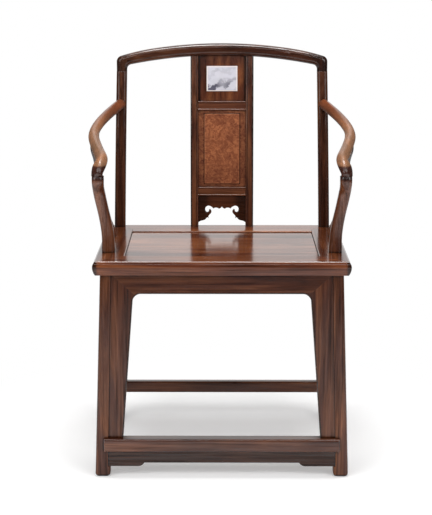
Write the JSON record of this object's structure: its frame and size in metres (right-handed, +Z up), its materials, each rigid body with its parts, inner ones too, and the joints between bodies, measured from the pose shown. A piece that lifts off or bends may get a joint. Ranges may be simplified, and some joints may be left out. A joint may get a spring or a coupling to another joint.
{
  "type": "official hat chair",
  "caption": "Southern official's hat chair: splayed legs, framed floating-panel seat, curved arms on goosenecks, arched crest rail and a bent splat with marble and burl insets",
  "frame": {"origin": "on the floor, under the middle of the chair's overall box", "axes": "+X is the sitter's left-to-right as seen from the front of the chair, +Y towards the back, +Z up"},
  "size_m": [0.6272, 0.493, 0.9585],
  "materials": {
    "rosewood_frame": "polished satin-gloss, dark reddish brown",
    "rosewood_boards": "polished satin-gloss, dark reddish brown, straight grain",
    "rosewood_panel": "polished, grain across the seat",
    "rosewood_carved": "carved and polished",
    "burl": "polished burl, orange brown",
    "marble": "polished veined stone"
  },
  "bodies": {
    "root": {"arm_left": "rosewood_frame", "arm_right": "rosewood_frame", "back_apron": "rosewood_boards", "back_spandrel_left": "rosewood_boards", "back_spandrel_right": "rosewood_boards", "crest_rail": "rosewood_frame", "footrest": "rosewood_frame", "footrest_apron": "rosewood_boards", "front_apron": "rosewood_boards", "front_jamb_left": "rosewood_boards", "front_jamb_right": "rosewood_boards", "front_leg_left": "rosewood_frame", "front_leg_right": "rosewood_frame", "gooseneck_left": "rosewood_frame", "gooseneck_right": "rosewood_frame", "rear_leg_left": "rosewood_frame", "rear_leg_right": "rosewood_frame", "rear_stretcher": "rosewood_frame", "seat_back_rail": "rosewood_frame", "seat_batten_left": "rosewood_boards", "seat_batten_right": "rosewood_boards", "seat_front_rail": "rosewood_frame", "seat_panel": "rosewood_panel", "seat_side_rail_left": "rosewood_frame", "seat_side_rail_right": "rosewood_frame", "side_apron_left": "rosewood_boards", "side_apron_right": "rosewood_boards", "side_jamb_front_left": "rosewood_boards", "side_jamb_front_right": "rosewood_boards", "side_jamb_rear_left": "rosewood_boards", "side_jamb_rear_right": "rosewood_boards", "side_post_left": "rosewood_frame", "side_post_right": "rosewood_frame", "side_stretcher_left": "rosewood_frame", "side_stretcher_right": "rosewood_frame", "splat_burl_panel": "burl", "splat_carved_board": "rosewood_carved", "splat_lower_rail": "rosewood_frame", "splat_stile_left": "rosewood_frame", "splat_stile_right": "rosewood_frame", "splat_stone_board": "rosewood_boards", "splat_stone_tile": "marble", "splat_upper_rail": "rosewood_frame"}
  },
  "joints": []
}
